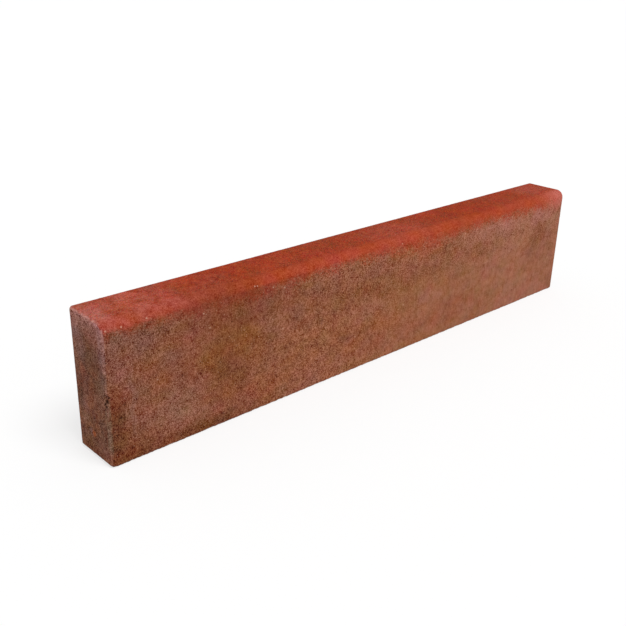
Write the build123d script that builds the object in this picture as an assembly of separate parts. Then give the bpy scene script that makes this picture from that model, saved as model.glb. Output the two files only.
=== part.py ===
from build123d import *

import os

# A straight precast concrete garden curb: one block, cast in one piece from a red pigmented mix.
# X runs along the curb, its exposed face looks towards -Y, and Z is up.
# The origin is the centre of the base, on the ground. All lengths are in millimetres.

# Overall size of the block
curb_length = 1000.0
curb_height = 200.0
curb_width = 80.0

# Arrises, as the radii that the mould gives them
face_radius = 15.0  # top edge of the exposed face, the edge that is meant to be walked and driven on
rear_radius = 4.0  # top edge of the rear face, against the paving
base_radius = 1.5  # long edges of the base, against the bedding
end_radius = 5.0  # all round both ends, where curbs meet in a row


def cross_section():
    """The section in the YZ plane, drawn with its x from the face to the rear and its y upwards."""
    with BuildSketch(Plane.YZ) as outline:
        Rectangle(curb_width, curb_height, align=(Align.CENTER, Align.MIN))
        for side, radius in ((0, face_radius), (-1, rear_radius)):
            top_corner = outline.vertices().group_by(Axis.X)[side].sort_by(Axis.Y)[-1]
            fillet(top_corner, radius)
            base_corner = outline.vertices().group_by(Axis.X)[side].sort_by(Axis.Y)[0]
            fillet(base_corner, base_radius)
    return outline.sketch


def curb_block():
    """The section drawn out to both sides of the middle, with the arrises round its two ends rounded."""
    with BuildPart() as block:
        extrude(cross_section(), amount=curb_length / 2, both=True)
        for end in (0, -1):
            end_face = block.faces().sort_by(Axis.X)[end]
            fillet(end_face.edges(), end_radius)
    return block.part


os.makedirs("parts", exist_ok=True)
export_step(curb_block(), "parts/curb.step")
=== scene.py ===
"""A precast concrete garden curb on a plain studio floor: its worn surface and its red-brown finish."""

import math

import bpy
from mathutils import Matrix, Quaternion, Vector


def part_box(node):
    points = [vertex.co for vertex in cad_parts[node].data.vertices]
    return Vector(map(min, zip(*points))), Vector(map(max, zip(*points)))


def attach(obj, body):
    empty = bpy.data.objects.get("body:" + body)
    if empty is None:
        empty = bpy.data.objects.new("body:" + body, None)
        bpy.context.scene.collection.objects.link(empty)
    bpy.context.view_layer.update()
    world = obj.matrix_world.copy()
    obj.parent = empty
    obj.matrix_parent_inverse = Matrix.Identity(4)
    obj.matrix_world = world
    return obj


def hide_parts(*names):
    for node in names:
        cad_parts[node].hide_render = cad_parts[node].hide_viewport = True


bl_info = {
    "name": "Concrete curb",
    "version": (1, 0, 0),
    "blender": (4, 5, 0),
    "location": "View3D > Sidebar > Curb",
    "description": "Casts a pigmented concrete curb with pores, chips and weathering, and lights it",
    "category": "Add Mesh",
}

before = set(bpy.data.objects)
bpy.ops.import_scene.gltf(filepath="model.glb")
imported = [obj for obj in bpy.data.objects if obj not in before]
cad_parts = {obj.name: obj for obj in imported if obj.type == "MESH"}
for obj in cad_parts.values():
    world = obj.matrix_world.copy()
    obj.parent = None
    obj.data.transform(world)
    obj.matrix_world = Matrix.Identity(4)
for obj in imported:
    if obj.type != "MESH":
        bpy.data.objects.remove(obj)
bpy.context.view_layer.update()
LOW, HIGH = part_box("curb")
LENGTH = (HIGH - LOW).x
MM = 0.001

# The curb's own coordinates, as they were in the mould, before its surface was pitted and worn
MOULD_PLACE = "mould_place"


def mm(*lengths):
    """Lengths in mm, in metres."""
    return tuple(length * MM for length in lengths)


# A pattern of noise is a width, or one along each axis, a seed, and its detail and roughness, if unusual.
# A cloud is a width and a seed, the noise at which it starts and is full, and its strength, if not 1.
# A shake is its waves' width, how far it moves a place, and a seed. Cells have a spacing and a seed

# How the same seed moves a pattern along each axis
SEED_STEPS = (1.0, 1.7, 2.3)

# How wide colour patterns are
TINT_WIDTH = mm(130, 75, 42)
PATCH_WIDTH = mm(75, 45, 27)
CLOUD_WIDTH = 24 * MM

# Patches on the exposed face: gap to the low-x end and to the base, half length and half height, all in mm,
# then strength and colour
FACE_PATCHES = (
    (28, 165, 60, 30, 0.85, "near_shade"),
    (42, 148, 20, 10, 0.35, "near_shade"),
    (36, 84, 7, 52, 0.25, "violet_grey"),
    (24, 127, 16, 9, 0.45, "dusty_pink"),
    (42, 75, 22, 70, 0.5, "near_shade"),
    (125, 98, 26, 36, 0.35, "near_shade"),
    (102, 52, 48, 36, 0.65, "dusty_grey"),
    (90, 130, 32, 15, 0.4, "near_shade"),
    (190, 117, 66, 40, 0.7, "ochre"),
    (176, 176, 28, 9, 0.5, "deep_red_and_shade"),
    (198, 66, 34, 46, 0.45, "umber"),
    (176, 62, 26, 44, 0.35, "ochre"),
    (178, 90, 30, 16, 0.25, "rust"),
    (122, 85, 26, 34, 0.22, "umber"),
    (215, 162, 105, 24, 0.55, "umber"),
    (340, 160, 28, 12, 0.4, "near_shade"),
    (412, 60, 22, 9, 0.4, "near_shade"),
    (440, 138, 160, 34, 0.3, "umber"),
    (470, 160, 18, 12, 0.35, "near_shade"),
    (540, 118, 75, 14, 0.4, "ochre"),
    (470, 50, 95, 28, 0.3, "brick"),
    (250, 34, 75, 20, 0.3, "brick"),
    (650, 42, 110, 20, 0.3, "brick"),
    (680, 136, 140, 26, 0.3, "umber"),
    (600, 166, 45, 16, 0.3, "edge_red_and_highlight"),
    (612, 80, 34, 17, 0.3, "bloom"),
    (790, 162, 95, 20, 0.45, "mauve"),
    (935, 165, 45, 22, 0.6, "mauve"),
    (925, 130, 22, 26, 0.35, "ochre"),
    (925, 105, 45, 62, 0.4, "near_brown"),
    (925, 120, 28, 28, 0.22, "umber"),
)

# The same on the ends, with the gap to the exposed face first
END_PATCHES = (
    (14, 197, 12, 3.5, 0.7, "rim_violet"),
    (55, 197, 11, 3.5, 0.5, "rim_violet"),
    (30, 186, 16, 9, 0.5, "end_brown_and_shade"),
    (26, 38, 24, 10, 0.35, "end_dark"),
    (14, 130, 12, 14, 0.3, "end_dark"),
    (62, 158, 18, 26, 0.4, "violet_grey"),
    (60, 60, 14, 18, 0.25, "violet_grey"),
    (40, 134, 26, 14, 0.25, "end_dark"),
    (20, 135, 12, 16, 0.3, "end_dark"),
    (67, 95, 8, 50, 0.4, "end_dark"),
    (16, 22, 12, 9, 0.3, "end_dark"),
    (14, 92, 8, 34, 0.35, "dusty_grey"),
    (10, 17, 7, 14, 0.3, "dusty_grey"),
    (47, 36, 5, 7, 0.45, "violet_grey"),
)

# The same on the top, with the gap to the low-x end first and then the gap to the exposed face
TOP_PATCHES = (
    (12, 32, 13, 30, 0.62, "near_pink"),
    (45, 22, 15, 30, 0.55, "top_red"),
    (140, 48, 45, 28, 0.45, "top_red"),
    (22, 60, 24, 12, 0.4, "top_pink"),
    (545, 36, 75, 38, 0.28, "top_pink"),
    (740, 40, 85, 40, 0.65, "sunned_red"),
    (950, 46, 50, 34, 0.4, "top_pink"),
)

# Single marks: gap to the low-x end, to the exposed face and to the top, in mm
ARRIS_VOIDS = (
    (4.3, 0.1, 99.4),
    (1.0, 2.0, 104.5),
    (0.0, 6.0, 109.0),
    (0.3, 3.4, 112.0),
)
IRON_STAIN = (0, 39.7, 164.6)
PALE_SPECKS = (
    (63.8, 1.3, 9.0),
    (28.0, 0.7, 10.5),
    (1.0, 20.7, 2.0),
    (6.6, 0.8, 10.2),
    (148.2, 0, 25.6),
    (157.9, 0, 48.5),
    (74.0, 0, 96.4),
    (234.6, 1.1, 9.3),
    (239.0, 1.0, 9.8),
    (266.7, 0, 18.6),
    (287.6, 0, 23.8),
    (284.8, 0, 86.0),
    (434.6, 0, 142.6),
    (534.0, 0.6, 10.7),
    (545.4, 0, 117.9),
    (696.0, 0, 26.5),
)
DARK_SPECKS = (
    (194.5, 0, 50.1),
    (683.3, 0, 65.6),
)

# How large the marks are: each void as a share of the void radius, and the others as radii
VOID_SHARES = (0.6, 1.4, 0.9, 0.85)
STAIN_RADIUS = 6 * MM
SPECK_RADIUS = 1.7 * MM

# A mark's uneven rim: how wide its waves are, and its waves and full middle as shares of its radius
MARK_WAVE_WIDTH = 3 * MM
MARK_WAVE_SHARE = 0.6
MARK_CORE_SHARE = 0.4


def shade(red, green, blue):
    """A screen colour, each part from 0 to 255, as the linear numbers that materials take."""
    parts = (red / 255, green / 255, blue / 255)
    return tuple(p / 12.92 if p <= 0.04045 else ((p + 0.055) / 1.055) ** 2.4 for p in parts)


# Properties that a user would change


def a_length(name, description, default):
    return bpy.props.FloatProperty(
        name=name, description=description, default=default, min=0.0, precision=5, unit="LENGTH"
    )


def a_colour(name, description, *screen_colour):
    default = shade(*screen_colour)
    return bpy.props.FloatVectorProperty(
        name=name, description=description, default=default, size=3, min=0.0, max=1.0, subtype="COLOR"
    )


def a_level(name, description, default):
    return bpy.props.FloatProperty(name=name, description=description, default=default, min=0.0)


class CurbSizes(bpy.types.PropertyGroup):
    face_radius: a_length("Face radius", "Top edge of the exposed face", 15 * MM)
    rear_radius: a_length("Rear radius", "Top edge of the rear face", 4 * MM)
    end_radius: a_length("End radius", "All round both ends", 5 * MM)
    base_radius: a_length("Base radius", "Long edges of the base", 1.5 * MM)
    mesh_pitch: a_length("Mesh pitch", "Width of the mesh's squares before it is thinned", 1.2 * MM)
    triangles: bpy.props.IntProperty(
        name="Triangles", description="Most triangles that the thinned block keeps", default=196000, min=1000
    )
    swell_depth: a_length("Swell depth", "Slow hollows that the mould leaves in the faces", 0.45 * MM)
    grain_depth: a_length("Grain depth", "Roughness of the pressed sand between the pores", 0.35 * MM)
    pore_radius: a_length("Pore radius", "Largest of the many small pores", 1.3 * MM)
    pore_depth: a_length("Pore depth", "Depth of the small pores", 0.9 * MM)
    hole_radius: a_length("Hole radius", "Largest of the few blow holes", 2.1 * MM)
    hole_depth: a_length("Hole depth", "Depth of the blow holes", 1.6 * MM)
    wear_depth: a_length("Wear depth", "How far the arrises are rubbed back", 0.9 * MM)
    chip_radius: a_length("Chip radius", "Largest chips along the arrises", 5.5 * MM)
    chip_depth: a_length("Chip depth", "Depth of the chips", 1.8 * MM)
    void_radius: a_length("Void radius", "The large voids on the near arris", 3.2 * MM)
    void_depth: a_length("Void depth", "Depth of the large voids", 2.6 * MM)


class CurbColours(bpy.types.PropertyGroup):
    top_red: a_colour("Top red", "Pigmented concrete on the top", 148, 56, 28)
    sunned_red: a_colour("Sunned red", "A more orange stretch of the top", 146, 50, 15)
    top_pink: a_colour("Top pink", "Paler red near the low-x end of the top", 168, 83, 68)
    near_pink: a_colour("Near pink", "The palest red, at the near corner of the top", 176, 98, 86)
    # The rounded edge's paler red, which is partly a painted highlight
    edge_red_and_highlight: a_colour("Edge red", "The paler red of the rounded edge", 159, 65, 40)
    far_red: a_colour("Far red", "The rounded edge by the high-x end", 180, 94, 80)
    brick: a_colour("Brick", "Redder patches low on the face", 146, 80, 56)
    umber: a_colour("Umber", "Darker patches under the red", 116, 64, 44)
    # A dark red under the rounded edge, also laid over part of the edge as painted shade
    deep_red_and_shade: a_colour("Deep red", "Dark red just under the rounded edge", 124, 56, 34)
    near_shade: a_colour("Near shade", "Darker patch under the near end's red", 118, 75, 60)
    near_brown: a_colour("Near brown", "The faces towards the low-x end", 130, 78, 55)
    middle_brown: a_colour("Middle brown", "The middle of the faces", 143, 90, 61)
    far_brown: a_colour("Far brown", "The faces towards the high-x end", 150, 98, 74)
    ochre: a_colour("Ochre", "Yellower patches", 125, 74, 37)
    dusty_pink: a_colour("Dusty pink", "Redder, paler patches", 146, 90, 78)
    dusty_grey: a_colour("Dusty grey", "A greyer patch by the low-x end", 134, 90, 72)
    bloom: a_colour("Bloom", "Pale lime bloom on the face", 164, 108, 94)
    mauve: a_colour("Mauve", "Pinkish bloom under the far red", 160, 102, 90)
    rust: a_colour("Rust", "Brown stain by the near arris and the base", 99, 53, 27)
    # Darker than the faces' brown, partly as painted shade on the ends
    end_brown_and_shade: a_colour("End brown", "The two ends", 113, 71, 54)
    end_dark: a_colour("End dark", "Darker patches on the ends", 92, 58, 40)
    end_pink: a_colour("End pink", "Paler top of the ends", 158, 103, 93)
    violet_grey: a_colour("Violet grey", "Faint grey film by the near arris", 144, 108, 104)
    rim_violet: a_colour("Rim violet", "Pale film under the top rim of the ends", 172, 118, 116)
    worn_pink: a_colour("Worn pink", "Rubbed arrises", 200, 146, 137)
    pale_grain: a_colour("Pale grain", "Light sand grains", 206, 164, 140)
    hue_tint: a_colour("Hue tint", "How far clouds of colour shift each part", 80, 40, 43)
    red_hue: a_colour("Red hue", "The same on the red top", 112, 34, 36)
    dark_gap: a_colour("Dark gap", "Shade in pores and between grains", 52, 24, 14)
    arris_grey: a_colour("Arris grey", "Greenish film on the lower half of the near arris", 116, 92, 72)
    iron_orange: a_colour("Iron orange", "A small iron stain on the low-x end", 176, 84, 36)
    sand_contrast: a_level("Sand contrast", "How much lighter or darker sand grains are", 0.59)
    red_contrast: a_level("Red contrast", "The same on the red top", 0.33)


class StudioSettings(bpy.types.PropertyGroup):
    floor_size: a_length("Floor size", "Side of the square floor", 90.0)
    sky_level: a_level("Sky level", "Brightness of the even light from all sides", 0.5)
    sun_level: a_level("Sun level", "Brightness that the sun gives a white surface facing it", 0.62)
    sun_angle: bpy.props.FloatProperty(
        name="Sun angle",
        description="Width of the sun, for soft shadows",
        default=math.radians(30),
        unit="ROTATION",
    )
    camera_lens: bpy.props.FloatProperty(
        name="Camera lens", description="Focal length on a 36 mm wide sensor", default=48.495, unit="CAMERA"
    )


# Node trees, alike for the shader and for the surface's shape

# The smallest hollow as a share of the largest, and a hollow's flat floor as a share of its radius
SMALLEST_HOLLOW_SHARE = 0.4
HOLLOW_FLOOR_SHARE = 0.3


def feed(tree, socket, source):
    """Links an output to an input, or sets the input to a plain value."""
    if isinstance(source, bpy.types.NodeSocket):
        tree.links.new(source, socket)
    else:
        socket.default_value = source


def maths(tree, operation, *terms):
    node = tree.nodes.new("ShaderNodeMath")
    node.operation = operation
    for socket, term in zip(node.inputs, terms):
        feed(tree, socket, term)
    return node.outputs["Value"]


def vector_maths(tree, operation, *terms, result="Vector"):
    node = tree.nodes.new("ShaderNodeVectorMath")
    node.operation = operation
    for socket, term in zip(node.inputs, terms):
        feed(tree, socket, term)
    return node.outputs[result]


def product(tree, first, *others):
    for other in others:
        first = maths(tree, "MULTIPLY", first, other)
    return first


def total(tree, first, *others):
    for other in others:
        first = maths(tree, "ADD", first, other)
    return first


def smaller(tree, first, *others):
    for other in others:
        first = maths(tree, "MINIMUM", first, other)
    return first


def rest_of(tree, share):
    return maths(tree, "SUBTRACT", 1.0, share)


def centred(tree, value):
    """A value from 0 to 1, moved to lie evenly round 0."""
    return maths(tree, "SUBTRACT", value, 0.5)


def spread(tree, share, low, high):
    """Turns straight from low to high as share goes from 0 to 1."""
    return maths(tree, "MULTIPLY_ADD", share, high - low, low)


def ramp(tree, value, start, end, low=0.0, high=1.0):
    """Turns smoothly from low to high as value goes from start to end, which may lie either way round."""
    node = tree.nodes.new("ShaderNodeMapRange")
    node.interpolation_type = "SMOOTHSTEP"
    terms = {"Value": value, "From Min": start, "From Max": end, "To Min": low, "To Max": high}
    for name, term in terms.items():
        feed(tree, node.inputs[name], term)
    return node.outputs["Result"]


def scaled(tree, vector, scale):
    node = tree.nodes.new("ShaderNodeVectorMath")
    node.operation = "SCALE"
    feed(tree, node.inputs[0], vector)
    feed(tree, node.inputs["Scale"], scale)
    return node.outputs["Vector"]


def split(tree, vector):
    node = tree.nodes.new("ShaderNodeSeparateXYZ")
    feed(tree, node.inputs["Vector"], vector)
    return node.outputs["X"], node.outputs["Y"], node.outputs["Z"]


def raised(tree, colour, power):
    """The colour with each part raised to the power."""
    node = tree.nodes.new("ShaderNodeGamma")
    feed(tree, node.inputs["Color"], colour)
    feed(tree, node.inputs["Gamma"], power)
    return node.outputs["Color"]


def stretched(tree, place, width, seed):
    """place in units of the width, one or three, moved by the seed."""
    widths = width if isinstance(width, tuple) else (width,) * 3
    steps = tuple(step * seed for step in SEED_STEPS)
    return vector_maths(tree, "MULTIPLY_ADD", place, tuple(1 / each for each in widths), steps)


def noise_node(tree, place, width, seed, detail=3.0, roughness=0.6):
    node = tree.nodes.new("ShaderNodeTexNoise")
    node.noise_dimensions = "3D"
    feed(tree, node.inputs["Vector"], stretched(tree, place, width, seed))
    node.inputs["Scale"].default_value = 1.0
    node.inputs["Detail"].default_value = detail
    node.inputs["Roughness"].default_value = roughness
    return node


def noise(tree, place, *pattern):
    """Cloudy noise from 0 to 1."""
    return noise_node(tree, place, *pattern).outputs[0]


def waves(tree, place, pattern, reach):
    """Cloudy noise from minus the reach to the reach."""
    return spread(tree, noise(tree, place, *pattern), -reach, reach)


def clouded(tree, place, width, seed, start, full, strength=1.0):
    """Soft patches of that strength on 0."""
    return product(tree, ramp(tree, noise(tree, place, width, seed), start, full), strength)


def shaken(tree, place, width, reach, seed):
    """place moved by waves of noise, by up to about half of the reach each way."""
    waving = noise_node(tree, place, width, seed, detail=1.0, roughness=0.5).outputs["Color"]
    centre = vector_maths(tree, "SUBTRACT", waving, (0.5, 0.5, 0.5))
    return vector_maths(tree, "MULTIPLY_ADD", centre, (reach,) * 3, place)


def cell_chances(tree, place, spacing, seed):
    """For the cell that a point is in, its distance from the cell's seed and three chance numbers."""
    node = tree.nodes.new("ShaderNodeTexVoronoi")
    node.feature = "F1"
    feed(tree, node.inputs["Vector"], stretched(tree, place, spacing, seed))
    node.inputs["Scale"].default_value = 1.0
    return node.outputs["Distance"], *split(tree, node.outputs["Color"])


def hollows(tree, place, spacing, seed, radius, kept):
    """Round hollows from 0 on the rim to 1 in the middle, in the share of the cells that is kept."""
    distance, chance, width, _ = cell_chances(tree, place, spacing, seed)
    reach = spread(tree, width, SMALLEST_HOLLOW_SHARE * radius, radius)
    gap = maths(tree, "MULTIPLY", distance, spacing)
    hollow = ramp(tree, gap, reach, maths(tree, "MULTIPLY", reach, HOLLOW_FLOOR_SHARE))
    return product(tree, hollow, maths(tree, "LESS_THAN", chance, kept))


def mixed(tree, share, first, second):
    """first turned into second by share, as colours."""
    node = tree.nodes.new("ShaderNodeMix")
    node.data_type = "RGBA"
    feed(tree, node.inputs["Factor"], share)
    for name, colour in (("A_Color", first), ("B_Color", second)):
        socket = next(s for s in node.inputs if s.identifier == name)
        feed(tree, socket, colour if isinstance(colour, bpy.types.NodeSocket) else (*colour, 1.0))
    return next(s for s in node.outputs if s.identifier == "Result_Color")


def curve(tree, value, shares):
    """A smooth curve through the shares, for a value from 0 to 1."""
    node = tree.nodes.new("ShaderNodeFloatCurve")
    feed(tree, node.inputs["Value"], value)
    points = node.mapping.curves[0].points
    while len(points) < len(shares):
        points.new(0.5, 0.5)
    for point, (across, up) in zip(points, shares):
        point.location = (across, up)
    node.mapping.update()
    return node.outputs["Value"]


# Where a point lies on the curb


class Spot:
    """A point of the curb as a node tree sees it: its place in the mould, and its gap to each face."""

    def __init__(self, tree, place):
        x, y, z = split(tree, place)
        self.tree = tree
        self.place = place
        self.to_near_end = maths(tree, "SUBTRACT", x, LOW.x)
        self.to_end = smaller(tree, self.to_near_end, maths(tree, "SUBTRACT", HIGH.x, x))
        self.to_face = maths(tree, "SUBTRACT", y, LOW.y)
        self.to_rear = maths(tree, "SUBTRACT", HIGH.y, y)
        self.to_base = maths(tree, "SUBTRACT", z, LOW.z)
        self.to_top = maths(tree, "SUBTRACT", HIGH.z, z)
        self.along = maths(tree, "DIVIDE", self.to_near_end, LENGTH)

    def arris_gap(self):
        """How far the point is from the nearest sharp arris; the face's rounded top edge isn't one."""
        tree = self.tree
        to_side = smaller(tree, self.to_face, self.to_rear)
        to_rim = smaller(tree, to_side, self.to_base, self.to_top)
        round_the_end = maths(tree, "MAXIMUM", self.to_end, to_rim)
        along_the_rear = maths(tree, "MAXIMUM", self.to_rear, self.to_top)
        along_the_base = maths(tree, "MAXIMUM", to_side, self.to_base)
        return smaller(tree, round_the_end, along_the_rear, along_the_base)

    def near_mark(self, mark, radius):
        """1 in the middle of a single mark and 0 at its radius, with an uneven rim."""
        to_end, to_face, to_top = mark
        middle = (LOW.x + to_end * MM, LOW.y + to_face * MM, HIGH.z - to_top * MM)
        place = shaken(self.tree, self.place, MARK_WAVE_WIDTH, MARK_WAVE_SHARE * radius, seed=12)
        gap = vector_maths(self.tree, "DISTANCE", place, middle, result="Value")
        return ramp(self.tree, gap, radius, MARK_CORE_SHARE * radius)


# What is cut into the surface, as shares from 0 to 1 that both the shape and the colour read

# Spans are where a ramp starts and ends, and then what it goes from and to, where that isn't 0 and 1.
# A ramp along the curb has shares of its length, a ramp on noise has levels of it, and the others have
# lengths, as gaps to a face, an end or an arris
OFF_THE_ENDS = mm(1, 4)
SMOOTHER_ALONG = (0.35, 0.7)
SMOOTHER_DOWN = (50 * MM, 120 * MM, 0.15, 0.9)
CLOSED_TOP = (3 * MM, 22 * MM, 0.4, 1.0)
BY_ARRIS = mm(5, 1.5)
RUBBED_BY_ARRIS = mm(4, 1)
RUBBED_FOOT = mm(9, 4)

# Pores, and the share of their cells that has one: the least and the most
PORE_CELLS = (6.5 * MM, 5)
PORE_SHAKE = (2.5 * MM, 1.8 * MM, 4)
PORE_CROWDS = (60 * MM, 3, 0.35, 0.7)
PORE_SHARES = (0.2, 0.55)

HOLE_CELLS = (17 * MM, 7)
HOLE_SHAKE = (4 * MM, 3 * MM, 6)
HOLE_SHARE = 0.2

CHIP_CELLS = (20 * MM, 9)
CHIP_SHAKE = (6 * MM, 5 * MM, 8)
CHIP_SHARE = 0.5

RUB_PATTERN = (6 * MM, 10, 4.0, 0.7)
RUB_SPAN = (0.35, 0.65, 0.1, 1.0)
LINE_PATTERN = (mm(1.6, 1.6, 9), 11, 2.0)
LINE_SPAN = (0.3, 0.7)


def smoother(spot):
    """Where the mould closed the face better: low down and towards the far end."""
    tree = spot.tree
    along = ramp(tree, spot.along, *SMOOTHER_ALONG)
    down = ramp(tree, spot.to_top, *SMOOTHER_DOWN)
    return product(tree, along, down, ramp(tree, spot.to_end, *OFF_THE_ENDS))


def openness(spot):
    """How open the surface is to pores: nearly closed on the top, and less open where it is smoother."""
    off_top = ramp(spot.tree, spot.to_top, *CLOSED_TOP)
    return product(spot.tree, off_top, rest_of(spot.tree, smoother(spot)))


def pores(spot, sizes):
    """The many small pores."""
    tree = spot.tree
    crowding = spread(tree, clouded(tree, spot.place, *PORE_CROWDS), *PORE_SHARES)
    kept = product(tree, openness(spot), crowding)
    return hollows(tree, shaken(tree, spot.place, *PORE_SHAKE), *PORE_CELLS, sizes.pore_radius, kept)


def blow_holes(spot, sizes):
    """The few larger holes where air was caught against the mould."""
    tree = spot.tree
    kept = product(tree, openness(spot), HOLE_SHARE)
    return hollows(tree, shaken(tree, spot.place, *HOLE_SHAKE), *HOLE_CELLS, sizes.hole_radius, kept)


def arris_voids(spot, sizes):
    """The large voids on the near arris."""
    voids = (spot.near_mark(mark, size * sizes.void_radius) for mark, size in zip(ARRIS_VOIDS, VOID_SHARES))
    return smaller(spot.tree, 1.0, total(spot.tree, *voids))


def chips(spot, sizes):
    """Flakes off the sharp arrises."""
    tree = spot.tree
    place = shaken(tree, spot.place, *CHIP_SHAKE)
    flakes = hollows(tree, place, *CHIP_CELLS, sizes.chip_radius, CHIP_SHARE)
    return product(tree, ramp(tree, spot.arris_gap(), *BY_ARRIS), flakes)


def rubbing(spot):
    """How far an arris is rubbed: uneven along its length, and most round the foot of the low-x end."""
    tree = spot.tree
    uneven = ramp(tree, noise(tree, spot.place, *RUB_PATTERN), *RUB_SPAN)
    at_foot = product(
        tree, ramp(tree, spot.to_near_end, *RUBBED_FOOT), ramp(tree, spot.to_base, *RUBBED_FOOT)
    )
    return product(tree, ramp(tree, spot.arris_gap(), *RUBBED_BY_ARRIS), total(tree, uneven, at_foot))


def drag_lines(spot):
    """Upright lines that lifting the mould drew on the faces."""
    return ramp(spot.tree, noise(spot.tree, spot.place, *LINE_PATTERN), *LINE_SPAN)


# The block's shape

# Flat steps that each rounded edge is made of
FACE_STEPS = 12
REAR_STEPS = 4
END_STEPS = 5
BASE_STEPS = 2

SWELL_PATTERN = (90 * MM, 1, 1.0, 0.5)
PRESSED_PATTERN = (5 * MM, 2, 3.0, 0.65)


def add_modifier(block, kind, name, **settings):
    """Adds a modifier with these settings and applies it."""
    modifier = block.modifiers.new(name, kind)
    for key, value in settings.items():
        setattr(modifier, key, value)
    bpy.context.view_layer.objects.active = block
    bpy.ops.object.modifier_apply(modifier=name)


def plain_block():
    """A cuboid of the curb's overall size, with its place in its mesh."""
    bpy.ops.object.select_all(action="DESELECT")
    bpy.ops.mesh.primitive_cube_add(size=1, location=(LOW + HIGH) / 2, scale=HIGH - LOW)
    bpy.ops.object.transform_apply(location=True, rotation=True, scale=True)
    block = bpy.context.object
    block.name = "curb_block"
    block.data.name = "curb_block"
    return block


def round_arrises(block, wanted, radius, steps):
    """Bevels the edges whose two ends pass the wanted test."""
    bpy.context.view_layer.objects.active = block
    bpy.ops.object.mode_set(mode="EDIT")
    bpy.ops.mesh.select_mode(type="EDGE")
    bpy.ops.mesh.select_all(action="DESELECT")
    bpy.ops.object.mode_set(mode="OBJECT")
    for edge in block.data.edges:
        first, second = (block.data.vertices[index].co for index in edge.vertices)
        edge.select = wanted(first, second)
    bpy.ops.object.mode_set(mode="EDIT")
    bpy.ops.mesh.bevel(offset=radius, segments=steps, profile=0.5, affect="EDGES")
    bpy.ops.object.mode_set(mode="OBJECT")


def both_near(axis, level, first, second):
    """Whether both points lie on the plane at that level of the axis, 0 for X to 2 for Z."""
    slack = 0.01 * MM
    return abs(first[axis] - level) < slack and abs(second[axis] - level) < slack


def on_face_top(first, second):
    return both_near(1, LOW.y, first, second) and both_near(2, HIGH.z, first, second)


def on_rear_top(first, second):
    return both_near(1, HIGH.y, first, second) and both_near(2, HIGH.z, first, second)


def on_an_end(first, second):
    return both_near(0, LOW.x, first, second) or both_near(0, HIGH.x, first, second)


def on_long_base_edge(first, second):
    on_a_side = both_near(1, LOW.y, first, second) or both_near(1, HIGH.y, first, second)
    return on_a_side and both_near(2, LOW.z, first, second)


def carved_surface(sizes):
    """Geometry nodes that keep each point's place in the mould and then press pores and wear inwards."""
    tree = bpy.data.node_groups.new("curb_surface", "GeometryNodeTree")
    tree.interface.new_socket("Geometry", in_out="INPUT", socket_type="NodeSocketGeometry")
    tree.interface.new_socket("Geometry", in_out="OUTPUT", socket_type="NodeSocketGeometry")
    entry = tree.nodes.new("NodeGroupInput").outputs["Geometry"]
    leaving = tree.nodes.new("NodeGroupOutput").inputs["Geometry"]
    spot = Spot(tree, tree.nodes.new("GeometryNodeInputPosition").outputs["Position"])
    normal = tree.nodes.new("GeometryNodeInputNormal").outputs["Normal"]

    keep = tree.nodes.new("GeometryNodeStoreNamedAttribute")
    keep.data_type = "FLOAT_VECTOR"
    keep.domain = "POINT"
    keep.inputs["Name"].default_value = MOULD_PLACE
    feed(tree, keep.inputs["Geometry"], entry)
    feed(tree, keep.inputs["Value"], spot.place)

    depth = total(
        tree,
        product(tree, noise(tree, spot.place, *SWELL_PATTERN), sizes.swell_depth),
        product(tree, noise(tree, spot.place, *PRESSED_PATTERN), openness(spot), sizes.grain_depth),
        product(tree, pores(spot, sizes), sizes.pore_depth),
        product(tree, blow_holes(spot, sizes), sizes.hole_depth),
        product(tree, rubbing(spot), sizes.wear_depth),
        product(tree, chips(spot, sizes), sizes.chip_depth),
        product(tree, arris_voids(spot, sizes), sizes.void_depth),
    )
    move = tree.nodes.new("GeometryNodeSetPosition")
    feed(tree, move.inputs["Geometry"], keep.outputs["Geometry"])
    feed(tree, move.inputs["Offset"], scaled(tree, normal, maths(tree, "MULTIPLY", depth, -1.0)))
    feed(tree, leaving, move.outputs["Geometry"])
    return tree


def cast_block(sizes):
    block = plain_block()
    round_arrises(block, on_face_top, sizes.face_radius, FACE_STEPS)
    round_arrises(block, on_rear_top, sizes.rear_radius, REAR_STEPS)
    round_arrises(block, on_an_end, sizes.end_radius, END_STEPS)
    round_arrises(block, on_long_base_edge, sizes.base_radius, BASE_STEPS)
    pitch = sizes.mesh_pitch * 1.0
    add_modifier(block, "REMESH", "even mesh", mode="VOXEL", voxel_size=pitch)
    add_modifier(block, "SMOOTH", "ease steps", factor=0.5, iterations=3)
    add_modifier(block, "NODES", "surface", node_group=carved_surface(sizes))
    squares = len(block.data.polygons)
    ratio = min(1.0, sizes.triangles / (2 * squares))
    add_modifier(block, "DECIMATE", "thin", ratio=ratio)
    bpy.ops.object.select_all(action="DESELECT")
    block.select_set(True)
    bpy.ops.object.shade_smooth()
    return block


# The concrete's finish: where its colours lie

# Gaps to the exposed face over which its colour ends, its rounded edge's red ends, and the top begins
ON_FACE = mm(20, 8)
ON_EDGE = mm(22, 6)
BEHIND_EDGE = mm(10, 20)

# How far the ends' colour reaches round their arrises, down the sides and just under the top
WRAP_DOWN = mm(110, 20, 3.2, 4.8)
WRAP_AT_TOP = mm(2, 20, 1.3, 4.8)
WRAP_CORE_SHARE = 0.4

# A patch's soft rim, as shares of its half size, and how the patches of each face are shaken
PATCH_RIM = (1.3, 0.4)
FACE_SHAKE = (30 * MM, 30 * MM, 50)
END_SHAKE = (8 * MM, 8 * MM, 50)
TOP_SHAKE = (14 * MM, 14 * MM, 50)


def face_share(spot):
    """1 on the exposed face and its rounded top edge, 0 behind them."""
    return ramp(spot.tree, spot.to_face, *ON_FACE)


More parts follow.
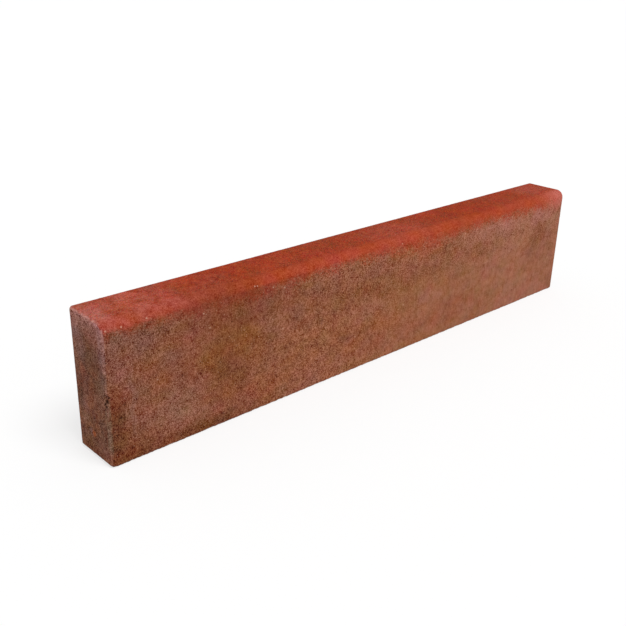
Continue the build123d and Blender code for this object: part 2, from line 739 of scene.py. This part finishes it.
def end_share(spot):
    """1 on the two ends and 0 beyond their arrises: furthest round high on the sides, least at the top."""
    tree = spot.tree
    down = ramp(tree, spot.to_top, *WRAP_DOWN)
    reach = smaller(tree, down, ramp(tree, spot.to_top, *WRAP_AT_TOP))
    return ramp(tree, spot.to_end, reach, maths(tree, "MULTIPLY", reach, WRAP_CORE_SHARE))


def patch(tree, across, up, middle_across, middle_up, half_width, half_height):
    """A soft-edged oval patch, with its middle and its sizes in mm, from a point's place across and up."""
    sideways = maths(tree, "DIVIDE", maths(tree, "SUBTRACT", across, middle_across * MM), half_width * MM)
    upwards = maths(tree, "DIVIDE", maths(tree, "SUBTRACT", up, middle_up * MM), half_height * MM)
    squares = total(tree, product(tree, sideways, sideways), product(tree, upwards, upwards))
    return ramp(tree, maths(tree, "SQRT", squares), *PATCH_RIM)


def patched(spot, colours, colour, shake, across, up, patches, where):
    """The colour with a table of patches; across and up are axes, 0 for X to 2 for Z."""
    tree = spot.tree
    places = split(tree, vector_maths(tree, "SUBTRACT", shaken(tree, spot.place, *shake), tuple(LOW)))
    for *oval, strength, name in patches:
        share = product(tree, patch(tree, places[across], places[up], *oval), where, strength)
        colour = mixed(tree, share, colour, getattr(colours, name))
    return colour


# The brown of the faces

TO_MIDDLE_BROWN = (0.1, 0.5)
TO_FAR_BROWN = (0.45, 0.95)
PINKER = (TINT_WIDTH, 20, 0.42, 0.68, 0.35)
YELLOWER = (PATCH_WIDTH, 21, 0.48, 0.7, 0.45)

# The rust by the near arris and along the foot of the face, with a wavy rim
RUST_PATTERN = (CLOUD_WIDTH, 57)
RUST_WAVE = 12 * MM
RUST_BY_ARRIS = mm(33, 14)
RUST_DOWN = mm(75, 120)
RUST_FOOT_REACH = mm(90, 40, 24, 44)
RUST_FOOT_CORE = 8 * MM
FOOT_RUST_SHARES = ((0.0, 1.0), (0.05, 1.0), (0.09, 0.55), (0.15, 0.9), (0.2, 0.7), (0.32, 0.0), (1.0, 0.0))
RUST_STRENGTH = 0.85


def rusted(spot, colours, brown):
    """The brown with the rust by the near arris and along the foot of the face."""
    tree = spot.tree
    uneven = waves(tree, spot.place, RUST_PATTERN, RUST_WAVE)
    from_arris = ramp(tree, total(tree, spot.to_near_end, uneven), *RUST_BY_ARRIS)
    by_arris = product(tree, from_arris, ramp(tree, spot.to_top, *RUST_DOWN))
    foot_reach = ramp(tree, spot.to_near_end, *RUST_FOOT_REACH)
    from_foot = ramp(tree, total(tree, spot.to_base, uneven), foot_reach, RUST_FOOT_CORE)
    by_foot = product(tree, from_foot, curve(tree, spot.along, FOOT_RUST_SHARES))
    stained = product(tree, maths(tree, "MAXIMUM", by_arris, by_foot), face_share(spot), RUST_STRENGTH)
    return mixed(tree, stained, brown, colours.rust)


def body_colour(spot, colours):
    """The brown of the faces, paler towards the far end, with patches and the rust at the near foot."""
    tree = spot.tree
    brown = mixed(tree, ramp(tree, spot.along, *TO_MIDDLE_BROWN), colours.near_brown, colours.middle_brown)
    brown = mixed(tree, ramp(tree, spot.along, *TO_FAR_BROWN), brown, colours.far_brown)
    brown = mixed(tree, clouded(tree, spot.place, *PINKER), brown, colours.dusty_pink)
    brown = mixed(tree, clouded(tree, spot.place, *YELLOWER), brown, colours.ochre)
    brown = patched(spot, colours, brown, FACE_SHAKE, 0, 2, FACE_PATCHES, face_share(spot))
    return rusted(spot, colours, brown)


# The ends

END_BROWNER = (CLOUD_WIDTH, 58, 0.45, 0.7)
END_YELLOWER = (34 * MM, 59, 0.5, 0.7, 0.5)
END_DARKER = (mm(30, 30, 42), 67, 0.48, 0.66, 0.35)
END_PATTERN = (CLOUD_WIDTH, 60)
END_WAVE = 10 * MM
END_HIGH = (44 * MM, 0.0)
END_PINK_STRENGTH = 0.85
END_LOW = (34 * MM, 4 * MM, 0.0, 0.35)
END_FILM_ACROSS = mm(18, 7)
END_FILM_DOWN = mm(130, 40)
END_FILM_STRENGTH = 0.4
NEAR_END_ONLY = (0.6, 0.4)
STAIN_STRENGTH = 0.45


def end_colour(spot, colours):
    """The ends: brown, cloudy, pale and pinkish towards the top, with a grey film by the near arris."""
    tree = spot.tree
    # Painted shade: the ends start from a brown darker than the faces', partly for the shade on them
    brown = mixed(tree, clouded(tree, spot.place, *END_BROWNER), colours.end_brown_and_shade, colours.near_brown)
    brown = mixed(tree, clouded(tree, spot.place, *END_YELLOWER), brown, colours.ochre)
    uneven = waves(tree, spot.place, END_PATTERN, END_WAVE)
    high = ramp(tree, total(tree, spot.to_top, uneven), *END_HIGH)
    brown = mixed(tree, product(tree, high, END_PINK_STRENGTH), brown, colours.end_pink)
    dark = product(tree, clouded(tree, spot.place, *END_DARKER), rest_of(tree, high))
    brown = mixed(tree, dark, brown, colours.end_dark)
    film = product(tree, ramp(tree, spot.to_face, *END_FILM_ACROSS), ramp(tree, spot.to_top, *END_FILM_DOWN))
    brown = mixed(tree, product(tree, film, END_FILM_STRENGTH), brown, colours.violet_grey)
    low = ramp(tree, total(tree, spot.to_base, uneven), *END_LOW)
    brown = mixed(tree, low, brown, colours.ochre)
    at_near_end = ramp(tree, spot.along, *NEAR_END_ONLY)
    brown = patched(spot, colours, brown, END_SHAKE, 1, 2, END_PATCHES, at_near_end)
    stained = product(tree, spot.near_mark(IRON_STAIN, STAIN_RADIUS), STAIN_STRENGTH)
    return mixed(tree, stained, brown, colours.iron_orange)


# The red of the top

# How the painted highlight on the rounded edge grows along the curb
HIGHLIGHT_ALONG = (0.12, 0.4, 0.3, 1.0)
DEEP_RED_DOWN = mm(8, 15)
DEEP_RED_ALONG = (0.44, 0.18, 0.05, 0.9)
ABOVE_DEEP_RED = mm(17, 9)
PINK_FROM_END = mm(220, 30)
PINK_PATTERN = (CLOUD_WIDTH, 31)
PINK_SPAN = (0.3, 0.65, 0.2, 1.0)
PINK_STRENGTH = 1.2
SHADED_START = (90 * MM, 140 * MM, 0.25, 1.0)
SHADED_END = mm(270, 180)
SHADED_DOWN = (0, 10 * MM, 0.3, 0.6)
FAR_RED_ALONG = (0.91, 0.985)

# How far down the face the red reaches: share of the curb's length, and of the deepest reach
DEEPEST_RED = 45 * MM
FULL_RED_SHARES = ((0.0, 0.1), (0.25, 0.25), (0.4, 0.15), (0.62, 0.15), (0.78, 0.15), (1.0, 0.25))
LAST_RED_SHARES = ((0.0, 0.6), (0.25, 0.75), (0.4, 0.6), (0.62, 0.86), (0.78, 0.7), (1.0, 0.9))

# The red's ragged lower rim, and how far it reaches over the other arrises
RED_RIM_PATTERN = (CLOUD_WIDTH, 30)
RED_RIM_WAVE = 17 * MM
SPECKLE_PATTERN = (3.2 * MM, 32, 1.0, 0.5)
SPECKLE_WAVE = 18 * MM
RAGGED_DOWN = mm(2, 15)
RED_ELSEWHERE = mm(9, 2)
RED_OFF_ENDS_STRENGTH = 0.9


def red_colour(spot, colours):
    """The red of the top: brightest on the rounded edge as a painted highlight, darkest just below it,
    pinker at both ends.
    """
    tree = spot.tree
    on_edge = ramp(tree, spot.to_face, *ON_EDGE)
    # Painted highlight: the rounded edge is turned to the paler edge red, weaker towards the low-x end
    painted_highlight = product(tree, on_edge, ramp(tree, spot.along, *HIGHLIGHT_ALONG))
    red = mixed(tree, painted_highlight, colours.top_red, colours.edge_red_and_highlight)
    dark = product(tree, ramp(tree, spot.to_top, *DEEP_RED_DOWN), ramp(tree, spot.along, *DEEP_RED_ALONG))
    red = mixed(tree, dark, red, colours.deep_red_and_shade)

    above = ramp(tree, spot.to_top, *ABOVE_DEEP_RED)
    cloud = ramp(tree, noise(tree, spot.place, *PINK_PATTERN), *PINK_SPAN)
    at_near_end = product(tree, ramp(tree, spot.to_near_end, *PINK_FROM_END), cloud, above, PINK_STRENGTH)
    red = mixed(tree, smaller(tree, 1.0, at_near_end), red, colours.top_pink)

    # Painted shade: deep red laid over the rounded edge from about 90 to 270 mm from the low-x end
    start = ramp(tree, spot.to_near_end, *SHADED_START)
    end = ramp(tree, spot.to_near_end, *SHADED_END)
    painted_shade = product(tree, start, end, on_edge, ramp(tree, spot.to_top, *SHADED_DOWN))
    red = mixed(tree, painted_shade, red, colours.deep_red_and_shade)
    red = patched(spot, colours, red, TOP_SHAKE, 0, 1, TOP_PATCHES, above)
    return mixed(tree, product(tree, ramp(tree, spot.along, *FAR_RED_ALONG), on_edge), red, colours.far_red)


def red_share(spot):
    """Where the red covers the body: the top, a speckled fade down the face, and just over other edges."""
    tree = spot.tree
    wavy = waves(tree, spot.place, RED_RIM_PATTERN, RED_RIM_WAVE)
    speckled = waves(tree, spot.place, SPECKLE_PATTERN, SPECKLE_WAVE)
    ragged = product(tree, total(tree, wavy, speckled), ramp(tree, spot.to_top, *RAGGED_DOWN))
    depth = total(tree, spot.to_top, ragged)
    full = product(tree, curve(tree, spot.along, FULL_RED_SHARES), DEEPEST_RED)
    last = product(tree, curve(tree, spot.along, LAST_RED_SHARES), DEEPEST_RED)
    on_face = product(tree, ramp(tree, depth, last, full), face_share(spot))
    elsewhere = product(tree, ramp(tree, depth, *RED_ELSEWHERE), rest_of(tree, face_share(spot)))
    off_the_ends = rest_of(tree, product(tree, end_share(spot), RED_OFF_ENDS_STRENGTH))
    return product(tree, total(tree, on_face, elsewhere), off_the_ends)


# The sand

# Sand, grit and crust: their cells or noise, and how far they swing the colour
SAND_SHAKE = (2 * MM, 1 * MM, 60)
SAND_CELLS = (mm(0.85, 0.85, 1.15), 61)
SAND_SWING = 1.12
SAND_SMOOTHED_SHARE = 0.86
GRIT_CELLS = (mm(2.2, 2.2, 3.2), 62)
GRIT_SWING = 0.15
GRIT_SMOOTHED_SHARE = 0.3
CRUST_PATTERN = (9 * MM, 63)
CRUST_ABOVE = (0.2, 0.4, 1.25, 0.55)
CRUST_BELOW = (0.4, 0.6, 0.8, 0.62)
CRUST_AT_ENDS = 0.9
LINE_SWING = 0.16
LINES_DOWN = mm(8, 25)

# How strong the grains' contrast is: on the top, edge and ends, along the face, and lower on its near part
BELOW_EDGE = mm(8, 22)
ROUND_THE_ENDS = (0, 6 * MM)
TOP_CONTRAST_ALONG = (0.15, 0.4, 1.2, 1.65)
EDGE_CONTRAST = 0.9
EDGE_CONTRAST_IN_RED = 0.78
END_CONTRAST = 1.26
SAND_CONTRAST_SHARES = (
    (0.0, 0.96), (0.1, 0.93), (0.17, 0.84), (0.27, 0.9), (0.37, 1.04), (0.55, 1.02), (1.0, 1.0)
)
NEAR_PART_START = (0.1, 0.16)
NEAR_PART_END = (0.42, 0.3)
NEAR_PART_DOWN = (60 * MM, 130 * MM, -0.1, 0.12)

# A colour's parts to this power are steps that look equally large in light and dark colours
EVEN_STEP = 0.58

# How single grains of the red top differ in hue: some are redder, and some are bluer
REDDER_GRAIN = (0.27, -0.12, -0.12)
BLUER_GRAIN = (0.0, 0.0, 0.25)

# Clouds of hue, and the darkest colour that is left, as a share of the dark gap
HUE_PATTERN = (mm(28, 40, 26), 66, 1.0, 0.5)
DARKEST_SHARE = 0.4

# Pale grains in clusters: the least and the most of their cells that have one, and their strength
PALE_CELLS = (4.2 * MM, 40)
PALE_CLUSTERS = (PATCH_WIDTH, 65, 0.5, 0.72)
PALE_SHARES = (0.25, 0.55)
PALE_RADIUS = 1.2 * MM
PALE_IN_RED = (0.0, 1.0, 0.6, 0.15)

# Dark pits, and the strength of the painted shade in hollows
PIT_CELLS = (3.8 * MM, 43)
PIT_RADIUS = 1.2 * MM
PIT_SHARE = 0.3
PIT_STRENGTH = 0.6
HOLLOW_SHADE_STRENGTH = 0.45


def grain_contrast(spot):
    """How strong the grains' contrast is from place to place."""
    tree = spot.tree
    on_top = ramp(tree, spot.along, *TOP_CONTRAST_ALONG)
    top_and_edge = ramp(tree, spot.to_face, *BEHIND_EDGE, EDGE_CONTRAST, on_top)
    start = ramp(tree, spot.along, *NEAR_PART_START)
    end = ramp(tree, spot.along, *NEAR_PART_END)
    lower = product(tree, start, end, ramp(tree, spot.to_top, *NEAR_PART_DOWN))
    face = total(tree, curve(tree, spot.along, SAND_CONTRAST_SHARES), lower)
    contrast = ramp(tree, spot.to_top, *BELOW_EDGE, top_and_edge, face)
    return product(tree, contrast, ramp(tree, spot.to_end, *ROUND_THE_ENDS, END_CONTRAST, 1.0))


def grain_swing(spot):
    """How much lighter sand, grit and crust make each point, and how much redder and bluer its grain is."""
    tree = spot.tree
    smooth = smoother(spot)
    place = shaken(tree, spot.place, *SAND_SHAKE)
    _, sand_chance, *hue_chances = cell_chances(tree, place, *SAND_CELLS)
    grit_chance = cell_chances(tree, place, *GRIT_CELLS)[1]
    open_sand = rest_of(tree, product(tree, smooth, SAND_SMOOTHED_SHARE))
    open_grit = rest_of(tree, product(tree, smooth, GRIT_SMOOTHED_SHARE))
    sand = product(tree, centred(tree, sand_chance), SAND_SWING, open_sand)
    grit = product(tree, centred(tree, grit_chance), GRIT_SWING, open_grit)

    above = ramp(tree, spot.along, *CRUST_ABOVE)
    below = ramp(tree, spot.along, *CRUST_BELOW)
    crusty = ramp(tree, spot.to_top, *BELOW_EDGE, above, below)
    crusty = ramp(tree, spot.to_end, *ROUND_THE_ENDS, CRUST_AT_ENDS, crusty)
    crust = product(tree, centred(tree, noise(tree, spot.place, *CRUST_PATTERN)), crusty)

    contrast = grain_contrast(spot)
    redder, bluer = (product(tree, centred(tree, chance), contrast) for chance in hue_chances)
    return product(tree, total(tree, sand, grit, crust), contrast), redder, bluer


def sanded(spot, colours, colour, red):
    """The colour with its drag lines, its grains and its faint clouds of hue."""
    tree = spot.tree
    lined = product(tree, ramp(tree, spot.to_top, *LINES_DOWN), rest_of(tree, end_share(spot)))
    lines = product(tree, lined, centred(tree, drag_lines(spot)), LINE_SWING)
    reddened = product(tree, red, ramp(tree, spot.to_face, *BEHIND_EDGE, EDGE_CONTRAST_IN_RED, 1.0))
    swing, redder, bluer = grain_swing(spot)
    contrast = ramp(tree, reddened, 0.0, 1.0, colours.sand_contrast, colours.red_contrast)
    lighter = product(tree, total(tree, swing, lines), contrast)
    on_top = product(tree, reddened, ramp(tree, spot.to_face, *BEHIND_EDGE))
    steps = vector_maths(tree, "ADD", scaled(tree, REDDER_GRAIN, product(tree, redder, on_top)), lighter)
    steps = vector_maths(tree, "ADD", scaled(tree, BLUER_GRAIN, product(tree, bluer, on_top)), steps)
    colour = vector_maths(tree, "MULTIPLY_ADD", raised(tree, colour, EVEN_STEP), steps, colour)
    clouds = noise_node(tree, spot.place, *HUE_PATTERN).outputs["Color"]
    shift = vector_maths(tree, "SUBTRACT", clouds, (0.5, 0.5, 0.5))
    hue = mixed(tree, on_top, colours.hue_tint, colours.red_hue)
    colour = vector_maths(tree, "MULTIPLY_ADD", shift, hue, colour)
    return vector_maths(tree, "MAXIMUM", colour, tuple(DARKEST_SHARE * part for part in colours.dark_gap))


def pitted(spot, colours, sizes, colour, red):
    """The colour with its pale grains and with the shade in its pits, pores and blow holes."""
    tree = spot.tree
    clusters = spread(tree, clouded(tree, spot.place, *PALE_CLUSTERS), *PALE_SHARES)
    kept = product(tree, openness(spot), clusters)
    pale = hollows(tree, spot.place, *PALE_CELLS, PALE_RADIUS, kept)
    colour = mixed(tree, product(tree, pale, ramp(tree, red, *PALE_IN_RED)), colour, colours.pale_grain)
    kept = product(tree, openness(spot), PIT_SHARE)
    pits = product(tree, hollows(tree, spot.place, *PIT_CELLS, PIT_RADIUS, kept), PIT_STRENGTH)
    dark = smaller(tree, 1.0, total(tree, pits, pores(spot, sizes), blow_holes(spot, sizes)))
    return mixed(tree, product(tree, dark, HOLLOW_SHADE_STRENGTH), colour, colours.dark_gap)


# Wear and single marks

FILM_BY_ARRIS = mm(7, 3)
FILM_START = mm(92, 108)
FILM_END = mm(8, 30)
FILM_CLOUDS = (mm(6, 6, 12), 68, 0.3, 0.55, 0.58)
RUBBED_COLOUR_DOWN = (40 * MM, 3 * MM, 0.1, 1.0)
SPECK_STRENGTH = 0.5
# How dark the painted shade in the near arris's voids is
VOID_SHADE_STRENGTH = 0.9

# Relief and gloss that are too fine for the mesh
SAND_BUMP = (1.3 * MM, 41, 1.0, 0.5)
POWDER_BUMP = (0.7 * MM, 42, 1.0, 0.5)
POWDER_SHARE = 0.5
BUMP_DEPTH = 0.25 * MM
ROUGHNESS_DOWN = (0, 20 * MM, 0.86, 0.95)
SPECULAR_LEVEL = 0.08


def filmed(spot, colours, colour):
    """The colour with the greenish film on the lower half of the near arris."""
    tree = spot.tree
    by_arris = ramp(tree, maths(tree, "MAXIMUM", spot.to_near_end, spot.to_face), *FILM_BY_ARRIS)
    low_down = product(tree, ramp(tree, spot.to_top, *FILM_START), ramp(tree, spot.to_base, *FILM_END))
    film = product(tree, by_arris, low_down, clouded(tree, spot.place, *FILM_CLOUDS))
    return mixed(tree, film, colour, colours.arris_grey)


def worn(spot, colours, sizes, colour):
    """The colour with its rubbed arrises, painted shade in the voids of the near arris, and single specks.
    """
    tree = spot.tree
    near_top = ramp(tree, spot.to_top, *RUBBED_COLOUR_DOWN)
    colour = mixed(tree, product(tree, rubbing(spot), near_top), colour, colours.worn_pink)
    for specks, shown in ((PALE_SPECKS, colours.pale_grain), (DARK_SPECKS, colours.dark_gap)):
        for speck in specks:
            share = product(tree, spot.near_mark(speck, SPECK_RADIUS), SPECK_STRENGTH)
            colour = mixed(tree, share, colour, shown)
    # Painted shade: the voids of the near arris are darkened nearly to the dark gap
    return mixed(tree, product(tree, arris_voids(spot, sizes), VOID_SHADE_STRENGTH), colour, colours.dark_gap)


def roughen(spot, shader):
    """Fine relief that is too small for the mesh: the sand grains and the powder between them."""
    tree = spot.tree
    grains = noise(tree, spot.place, *SAND_BUMP)
    powder = product(tree, noise(tree, spot.place, *POWDER_BUMP), POWDER_SHARE)
    bump = tree.nodes.new("ShaderNodeBump")
    bump.inputs["Strength"].default_value = 1.0
    bump.inputs["Distance"].default_value = BUMP_DEPTH
    feed(tree, bump.inputs["Height"], product(tree, total(tree, grains, powder), openness(spot)))
    feed(tree, shader.inputs["Normal"], bump.outputs["Normal"])
    feed(tree, shader.inputs["Roughness"], ramp(tree, spot.to_top, *ROUGHNESS_DOWN))
    shader.inputs["Specular IOR Level"].default_value = SPECULAR_LEVEL


def concrete(colours, sizes):
    """Pigmented concrete: red on top, brown below, with bloom, rust, sand, pores and worn arrises."""
    material = bpy.data.materials.new("pigmented_concrete")
    material.use_nodes = True
    tree = material.node_tree
    shader = tree.nodes["Principled BSDF"]
    attribute = tree.nodes.new("ShaderNodeAttribute")
    attribute.attribute_name = MOULD_PLACE
    spot = Spot(tree, attribute.outputs["Vector"])
    red = red_share(spot)
    colour = mixed(tree, end_share(spot), body_colour(spot, colours), end_colour(spot, colours))
    colour = filmed(spot, colours, mixed(tree, red, colour, red_colour(spot, colours)))
    colour = pitted(spot, colours, sizes, sanded(spot, colours, colour, red), red)
    feed(tree, shader.inputs["Base Color"], worn(spot, colours, sizes, colour))
    roughen(spot, shader)
    return material


# The studio

FLOOR_WHITE = (0.98, 0.98, 0.98, 1.0)
FLOOR_GLOW = 0.7
SKY_WHITE = (1.0, 1.0, 1.0, 1.0)

# The way to the sun, and how many times that far out its lamp stands
TOWARDS_SUN = Vector((0.05, -0.5, 0.9))
SUN_TIMES = 3.0

# The photograph's viewpoint: place in metres, and the way it looks in degrees
CAMERA_PLACE = Vector((-0.93797, -0.8678, 0.60457))
CAMERA_AZIMUTH = math.radians(-43.3205)
CAMERA_ELEVATION = math.radians(22.9564)
CAMERA_ROLL = math.radians(1.3808)
SENSOR_WIDTH = 36.0
CLIP_START = 0.05
CLIP_END = 100.0


def seen_share(tree):
    """1 for what the camera sees, straight or through a reflection, and 0 for the light on the curb."""
    path = tree.nodes.new("ShaderNodeLightPath")
    rays = ("Is Camera Ray", "Is Glossy Ray", "Is Transmission Ray")
    return smaller(tree, 1.0, total(tree, *(path.outputs[ray] for ray in rays)))


def add_floor(size):
    """A white floor that glows a little towards the camera, so that only the curb's shadow shows on it."""
    bpy.ops.object.select_all(action="DESELECT")
    bpy.ops.mesh.primitive_plane_add(size=size, location=(0, 0, LOW.z))
    bpy.ops.object.transform_apply(location=True, rotation=True, scale=True)
    floor = bpy.context.object
    floor.name = "studio_floor"
    material = bpy.data.materials.new("studio_floor")
    material.use_nodes = True
    tree = material.node_tree
    shader = tree.nodes["Principled BSDF"]
    shader.inputs["Base Color"].default_value = FLOOR_WHITE
    shader.inputs["Roughness"].default_value = 1.0
    shader.inputs["Specular IOR Level"].default_value = 0.0
    glow = tree.nodes.new("ShaderNodeEmission")
    glow.inputs["Strength"].default_value = 1.0
    mix = tree.nodes.new("ShaderNodeMixShader")
    feed(tree, mix.inputs["Fac"], product(tree, seen_share(tree), FLOOR_GLOW))
    feed(tree, mix.inputs[1], shader.outputs["BSDF"])
    feed(tree, mix.inputs[2], glow.outputs["Emission"])
    feed(tree, tree.nodes["Material Output"].inputs["Surface"], mix.outputs["Shader"])
    floor.data.materials.append(material)


def add_sky(level):
    """An even, plain sky at this level, which the camera sees as white."""
    world = bpy.data.worlds.new("studio")
    bpy.context.scene.world = world
    world.use_nodes = True
    tree = world.node_tree
    sky = tree.nodes["Background"]
    sky.inputs["Color"].default_value = SKY_WHITE
    feed(tree, sky.inputs["Strength"], spread(tree, seen_share(tree), level, 1.0))


def add_sun(level, angle):
    """A wide, soft sun high above the exposed face."""
    sun = bpy.data.lights.new("studio_sun", "SUN")
    sun.energy = level * math.pi
    sun.angle = angle
    holder = bpy.data.objects.new("studio_sun", sun)
    bpy.context.scene.collection.objects.link(holder)
    holder.location = SUN_TIMES * TOWARDS_SUN
    holder.rotation_mode = "QUATERNION"
    holder.rotation_quaternion = TOWARDS_SUN.to_track_quat("Z", "Y")


def add_camera(lens):
    """The camera at the photograph's viewpoint."""
    back = Vector((
        math.sin(CAMERA_AZIMUTH) * math.cos(CAMERA_ELEVATION),
        -math.cos(CAMERA_AZIMUTH) * math.cos(CAMERA_ELEVATION),
        math.sin(CAMERA_ELEVATION),
    ))
    camera = bpy.data.objects.new("camera", bpy.data.cameras.new("camera"))
    bpy.context.scene.collection.objects.link(camera)
    camera.data.sensor_width = SENSOR_WIDTH
    camera.data.lens = lens
    camera.location = CAMERA_PLACE
    camera.rotation_mode = "QUATERNION"
    camera.rotation_quaternion = (-back).to_track_quat("-Z", "Y") @ Quaternion((0, 0, 1), CAMERA_ROLL)
    camera.data.clip_start = CLIP_START
    camera.data.clip_end = CLIP_END
    bpy.context.scene.camera = camera


# Operators and panel


class CURB_OT_cast_block(bpy.types.Operator):
    """Casts the curb's block in concrete, with its pores, chips and worn arrises"""

    bl_idname = "curb.cast_block"
    bl_label = "Cast the block"

    def execute(self, context):
        sizes = context.scene.curb_sizes
        block = cast_block(sizes)
        block.data.materials.append(concrete(context.scene.curb_colours, sizes))
        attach(block, "root")
        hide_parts("curb")
        return {"FINISHED"}


class CURB_OT_set_stage(bpy.types.Operator):
    """Lays the studio floor and sets its lamps and camera"""

    bl_idname = "curb.set_stage"
    bl_label = "Set the stage"

    def execute(self, context):
        studio = context.scene.curb_studio
        add_floor(studio.floor_size)
        add_sky(studio.sky_level)
        add_sun(studio.sun_level, studio.sun_angle)
        add_camera(studio.camera_lens)
        context.scene.view_settings.view_transform = "Standard"
        return {"FINISHED"}


class CURB_PT_panel(bpy.types.Panel):
    bl_idname = "CURB_PT_panel"
    bl_label = "Concrete curb"
    bl_space_type = "VIEW_3D"
    bl_region_type = "UI"
    bl_category = "Curb"

    def draw(self, context):
        layout = self.layout
        layout.operator(CURB_OT_cast_block.bl_idname)
        layout.operator(CURB_OT_set_stage.bl_idname)
        for group in (context.scene.curb_sizes, context.scene.curb_colours, context.scene.curb_studio):
            box = layout.box()
            for name in group.__annotations__:
                box.prop(group, name)


CLASSES = (CurbSizes, CurbColours, StudioSettings, CURB_OT_cast_block, CURB_OT_set_stage, CURB_PT_panel)


def register():
    for each in CLASSES:
        bpy.utils.register_class(each)
    bpy.types.Scene.curb_sizes = bpy.props.PointerProperty(type=CurbSizes)
    bpy.types.Scene.curb_colours = bpy.props.PointerProperty(type=CurbColours)
    bpy.types.Scene.curb_studio = bpy.props.PointerProperty(type=StudioSettings)


def unregister():
    del bpy.types.Scene.curb_studio
    del bpy.types.Scene.curb_colours
    del bpy.types.Scene.curb_sizes
    for each in reversed(CLASSES):
        bpy.utils.unregister_class(each)


def main():
    register()
    bpy.ops.curb.cast_block()
    bpy.ops.curb.set_stage()


if __name__ == "__main__":
    main()
